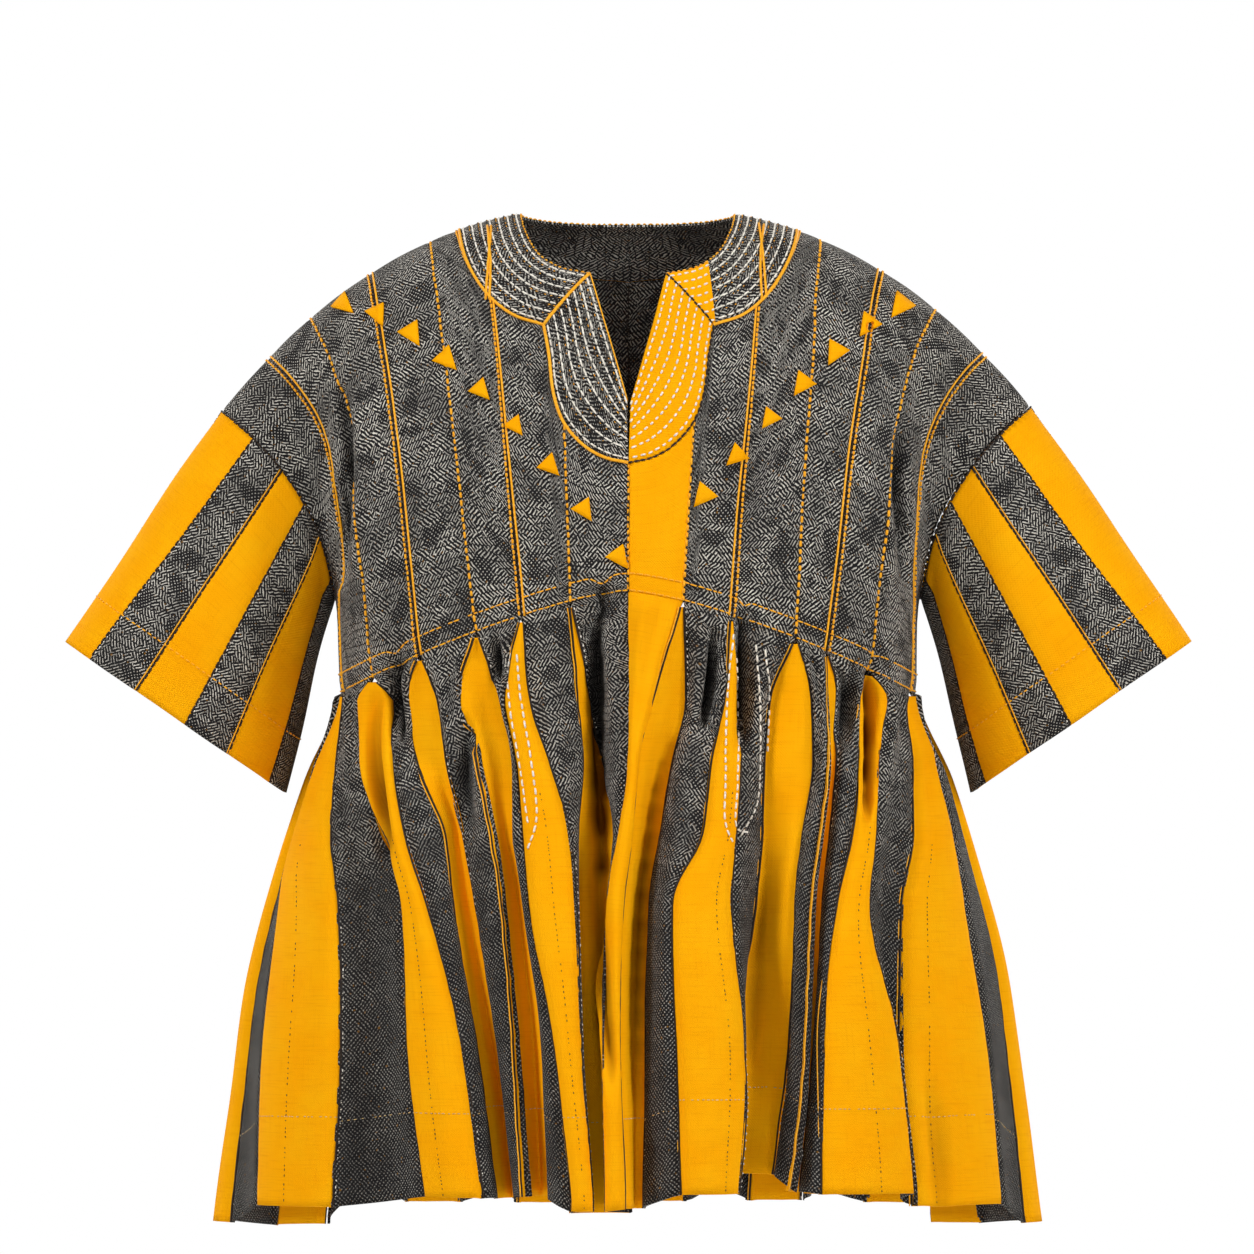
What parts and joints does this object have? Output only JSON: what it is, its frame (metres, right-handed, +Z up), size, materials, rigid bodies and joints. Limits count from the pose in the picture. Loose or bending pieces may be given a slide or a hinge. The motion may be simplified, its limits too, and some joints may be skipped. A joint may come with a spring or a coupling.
{
  "type": "smock",
  "caption": "Wide smock of hand-woven grey strips and orange gores, with an embroidered neck band and slit, dropped elbow-length sleeves and a flared pleated skirt.",
  "frame": {"origin": "on the centre plane, level with the side neck points and under the shoulder ridge, where the wearer's shoulders hold the smock", "axes": "+Z up the body, the front of the smock faces -Y, +X to the right as seen from the front"},
  "size_m": [0.96, 0.5236, 0.8615],
  "materials": {
    "grey_cloth": "coarse hand-woven cotton, near-black with white flecks",
    "orange_cloth": "coarse hand-woven plain cotton, orange-yellow"
  },
  "bodies": {
    "root": {"centre_strip_front": "orange_cloth", "collar_left": "grey_cloth", "collar_right": "grey_cloth", "gore_back_left_1": "orange_cloth", "gore_back_left_2": "orange_cloth", "gore_back_left_3": "orange_cloth", "gore_back_left_4": "orange_cloth", "gore_back_left_5": "orange_cloth", "gore_back_left_6": "orange_cloth", "gore_back_right_1": "orange_cloth", "gore_back_right_2": "orange_cloth", "gore_back_right_3": "orange_cloth", "gore_back_right_4": "orange_cloth", "gore_back_right_5": "orange_cloth", "gore_back_right_6": "orange_cloth", "gore_front_left_1": "orange_cloth", "gore_front_left_2": "orange_cloth", "gore_front_left_3": "orange_cloth", "gore_front_left_4": "orange_cloth", "gore_front_left_5": "orange_cloth", "gore_front_left_6": "orange_cloth", "gore_front_right_1": "orange_cloth", "gore_front_right_2": "orange_cloth", "gore_front_right_3": "orange_cloth", "gore_front_right_4": "orange_cloth", "gore_front_right_5": "orange_cloth", "gore_front_right_6": "orange_cloth", "gore_side_left": "orange_cloth", "gore_side_right": "orange_cloth", "placket_left": "grey_cloth", "placket_right": "orange_cloth", "sleeve_left": "grey_cloth", "sleeve_right": "grey_cloth", "strip_back_left_1": "grey_cloth", "strip_back_left_2": "grey_cloth", "strip_back_right_1": "grey_cloth", "strip_back_right_2": "grey_cloth", "strip_front_left_1": "grey_cloth", "strip_front_left_2": "grey_cloth", "strip_front_right_2": "grey_cloth", "strip_left_3": "grey_cloth", "strip_left_4": "grey_cloth", "strip_left_5": "grey_cloth", "strip_left_6": "grey_cloth", "strip_left_7": "grey_cloth", "strip_right_3": "grey_cloth", "strip_right_4": "grey_cloth", "strip_right_5": "grey_cloth", "strip_right_6": "grey_cloth", "strip_right_7": "grey_cloth"}
  },
  "joints": []
}
